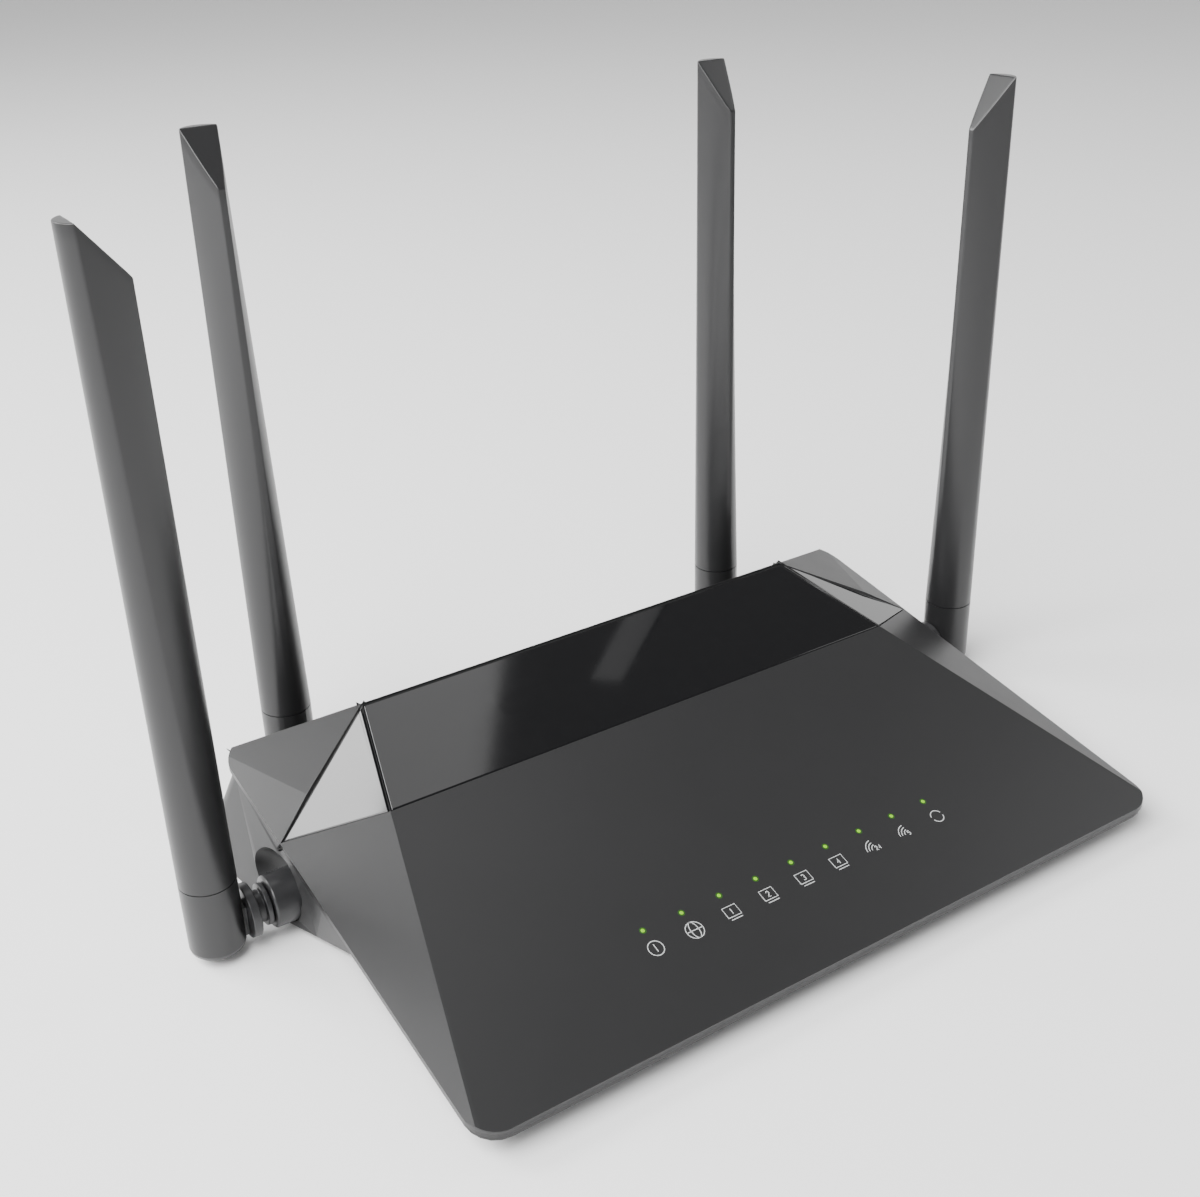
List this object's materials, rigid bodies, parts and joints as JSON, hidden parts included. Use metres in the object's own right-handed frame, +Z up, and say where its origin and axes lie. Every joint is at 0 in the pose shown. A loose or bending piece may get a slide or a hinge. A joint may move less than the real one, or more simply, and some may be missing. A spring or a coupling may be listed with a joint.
{
  "type": "wireless router",
  "caption": "Wedge-shaped wireless router with a faceted cover, gloss panels, network sockets at the back and rod antennas on swivel and tilt joints.",
  "frame": {"origin": "on the desk plane, under the middle of the overall box", "axes": "+X to the object's right seen from the front, +Y towards the sockets at the back, +Z up"},
  "size_m": [0.2864, 0.1816, 0.2026],
  "materials": {
    "cover_matt": "fine matt moulded grain",
    "panel_gloss": "polished black",
    "case_matt": "fine matt moulded grain",
    "antenna_matt": "satin moulded",
    "joint_black": "satin black",
    "foot_rubber": "matt",
    "screw_steel": "zinc plated",
    "element_brass": "bare",
    "light_guide": "clear, lit green",
    "board_green": "green lacquer",
    "chip_black": "moulded",
    "shield_tin": "tinned",
    "sink_aluminium": "extruded",
    "socket_black": "satin",
    "button_grey": "satin",
    "lead_grey": "smooth sheath"
  },
  "bodies": {
    "router_body": {"top_cover": "cover_matt", "gloss_panel_left": "panel_gloss", "gloss_panel_centre": "panel_gloss", "gloss_panel_right": "panel_gloss", "led_light_guide": "light_guide", "bottom_case": "case_matt", "rubber_foot_1": "foot_rubber", "case_screw_1": "screw_steel", "antenna_lead_1": "lead_grey", "lan_socket_1": "socket_black", "rubber_foot_2": "foot_rubber", "case_screw_2": "screw_steel", "antenna_lead_2": "lead_grey", "lan_socket_2": "socket_black", "rubber_foot_3": "foot_rubber", "case_screw_3": "screw_steel", "antenna_lead_3": "lead_grey", "lan_socket_3": "socket_black", "rubber_foot_4": "foot_rubber", "case_screw_4": "screw_steel", "antenna_lead_4": "lead_grey", "lan_socket_4": "socket_black", "wan_socket": "socket_black", "main_board": "board_green", "main_processor": "chip_black", "memory_chip": "chip_black", "flash_chip": "chip_black", "radio_shield_low_band": "shield_tin", "radio_shield_high_band": "shield_tin", "heat_sink": "sink_aluminium", "dc_jack": "button_grey", "rear_panel": "case_matt", "power_switch": "chip_black", "wps_switch": "chip_black", "antenna_collar_side_left": "joint_black", "antenna_collar_rear_left": "joint_black", "antenna_collar_rear_right": "joint_black", "antenna_collar_side_right": "joint_black"},
    "swivel_side_left": {"antenna_swivel_side_left": "joint_black"},
    "antenna_side_left": {"antenna_foot_side_left": "antenna_matt", "antenna_blade_side_left": "antenna_matt", "tilt_pin_side_left": "screw_steel", "antenna_element_side_left": "element_brass"},
    "swivel_rear_left": {"antenna_swivel_rear_left": "joint_black"},
    "antenna_rear_left": {"antenna_foot_rear_left": "antenna_matt", "antenna_blade_rear_left": "antenna_matt", "tilt_pin_rear_left": "screw_steel", "antenna_element_rear_left": "element_brass"},
    "swivel_rear_right": {"antenna_swivel_rear_right": "joint_black"},
    "antenna_rear_right": {"antenna_foot_rear_right": "antenna_matt", "antenna_blade_rear_right": "antenna_matt", "tilt_pin_rear_right": "screw_steel", "antenna_element_rear_right": "element_brass"},
    "swivel_side_right": {"antenna_swivel_side_right": "joint_black"},
    "antenna_side_right": {"antenna_foot_side_right": "antenna_matt", "antenna_blade_side_right": "antenna_matt", "tilt_pin_side_right": "screw_steel", "antenna_element_side_right": "element_brass"},
    "power_key": {"power_button": "button_grey"},
    "wps_key": {"wps_button": "button_grey"}
  },
  "joints": [
    {"name": "swivel_turn_side_left", "type": "hinge", "parent": "router_body", "child": "swivel_side_left", "pos_m": [-0.1355, 0.01655, 0.0102], "axis": [-1, 0, 0], "range_deg": [-90, 90]},
    {"name": "tilt_side_left", "type": "hinge", "parent": "swivel_side_left", "child": "antenna_side_left", "pos_m": [-0.1362, 0.01655, 0.0085], "axis": [0, -1, 0], "range_deg": [0, 90]},
    {"name": "swivel_turn_rear_left", "type": "hinge", "parent": "router_body", "child": "swivel_rear_left", "pos_m": [-0.0843, 0.08305, 0.0132], "axis": [0, 1, 0], "range_deg": [-90, 45]},
    {"name": "tilt_rear_left", "type": "hinge", "parent": "swivel_rear_left", "child": "antenna_rear_left", "pos_m": [-0.0843, 0.08375, 0.0115], "axis": [-1, 0, 0], "range_deg": [0, 90]},
    {"name": "swivel_turn_rear_right", "type": "hinge", "parent": "router_body", "child": "swivel_rear_right", "pos_m": [0.0843, 0.08305, 0.0132], "axis": [0, 1, 0], "range_deg": [-45, 90]},
    {"name": "tilt_rear_right", "type": "hinge", "parent": "swivel_rear_right", "child": "antenna_rear_right", "pos_m": [0.0843, 0.08375, 0.0115], "axis": [-1, 0, 0], "range_deg": [0, 90]},
    {"name": "swivel_turn_side_right", "type": "hinge", "parent": "router_body", "child": "swivel_side_right", "pos_m": [0.1355, 0.01655, 0.0102], "axis": [1, 0, 0], "range_deg": [-90, 90]},
    {"name": "tilt_side_right", "type": "hinge", "parent": "swivel_side_right", "child": "antenna_side_right", "pos_m": [0.1362, 0.01655, 0.0085], "axis": [0, 1, 0], "range_deg": [0, 90]},
    {"name": "power_press", "type": "slide", "parent": "router_body", "child": "power_key", "axis": [0, -1, 0], "range_m": [0, 0.0018], "stiffness_N_per_m": 500, "springref_m": -0.001},
    {"name": "wps_press", "type": "slide", "parent": "router_body", "child": "wps_key", "axis": [0, -1, 0], "range_m": [0, 0.001], "stiffness_N_per_m": 500, "springref_m": -0.001}
  ]
}
